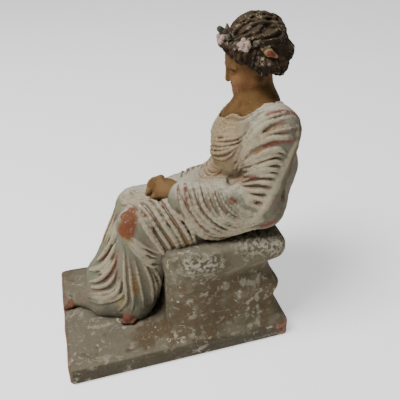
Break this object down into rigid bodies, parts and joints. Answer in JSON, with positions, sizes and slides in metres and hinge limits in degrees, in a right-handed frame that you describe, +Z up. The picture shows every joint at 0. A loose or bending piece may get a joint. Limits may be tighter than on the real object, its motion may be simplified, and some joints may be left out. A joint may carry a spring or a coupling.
{
  "type": "tanagra figurine",
  "caption": "Moulded terracotta figurine of a draped lady seated on a moulded block seat over a plain slab.",
  "frame": {"origin": "centre of the slab's underside", "axes": "+Z up, -X the way the lady faces, +Y to her left"},
  "size_m": [0.1581, 0.098, 0.2023],
  "materials": {
    "painted_terracotta": "matte"
  },
  "bodies": {
    "root": {"seated_lady_figurine": "painted_terracotta"}
  },
  "joints": []
}
